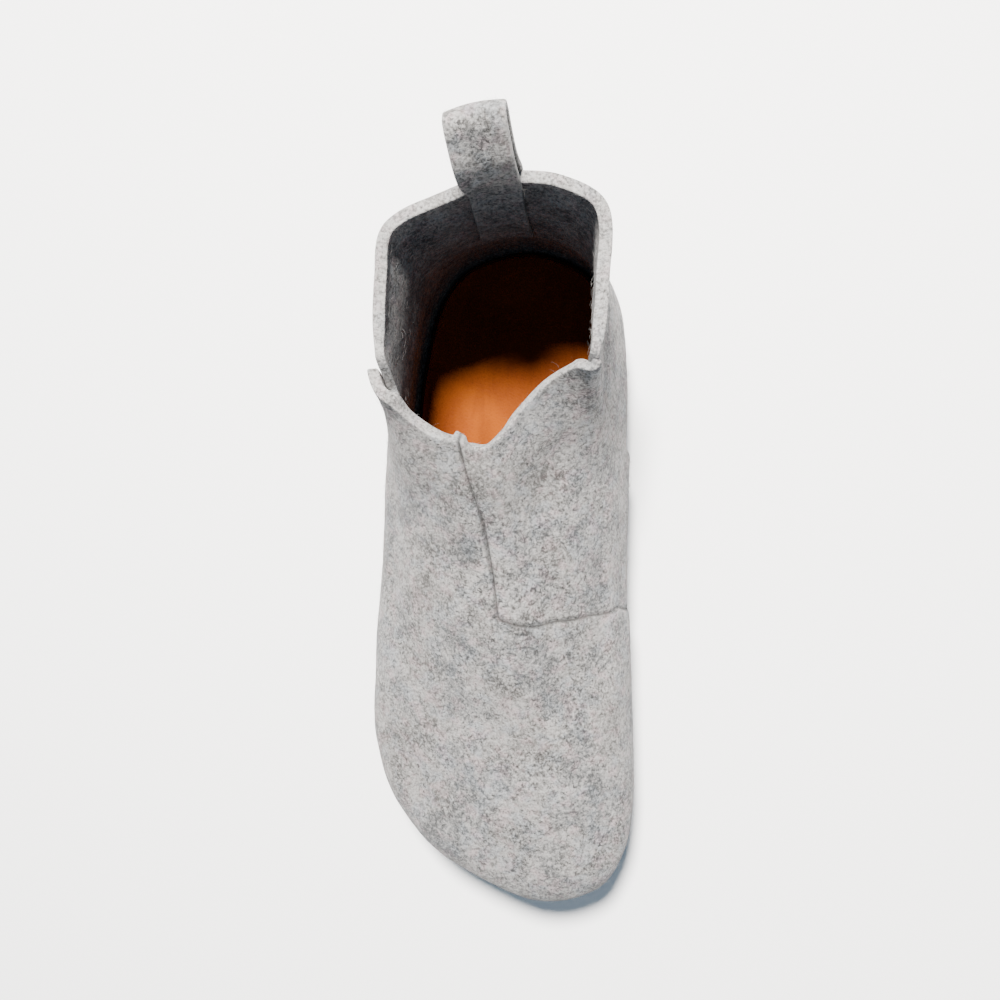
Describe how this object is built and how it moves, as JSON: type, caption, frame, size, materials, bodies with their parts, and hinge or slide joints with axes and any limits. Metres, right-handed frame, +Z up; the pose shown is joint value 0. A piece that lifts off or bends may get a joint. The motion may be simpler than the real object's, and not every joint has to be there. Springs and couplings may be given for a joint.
{
  "type": "felt slipper",
  "caption": "Ankle-high house slipper in grey wool felt with a front flap, a pull loop at the heel, a tan footbed and a black rubber sole.",
  "frame": {"origin": "centre of the bounding box at the ground", "axes": "+Z up, the heel along +Y and the toe along -Y, the big toe's side along +X"},
  "size_m": [0.1148, 0.2916, 0.1689],
  "materials": {
    "felt": "milled grey melange wool felt",
    "footbed": "smooth tan leather",
    "midsole": "smooth black rubber, lightly pitted",
    "tread": "black rubber with a fine crumb surface"
  },
  "bodies": {
    "root": {"outsole": "tread", "midsole": "midsole", "insole": "footbed", "upper": "felt", "pull_loop": "felt"}
  },
  "joints": []
}
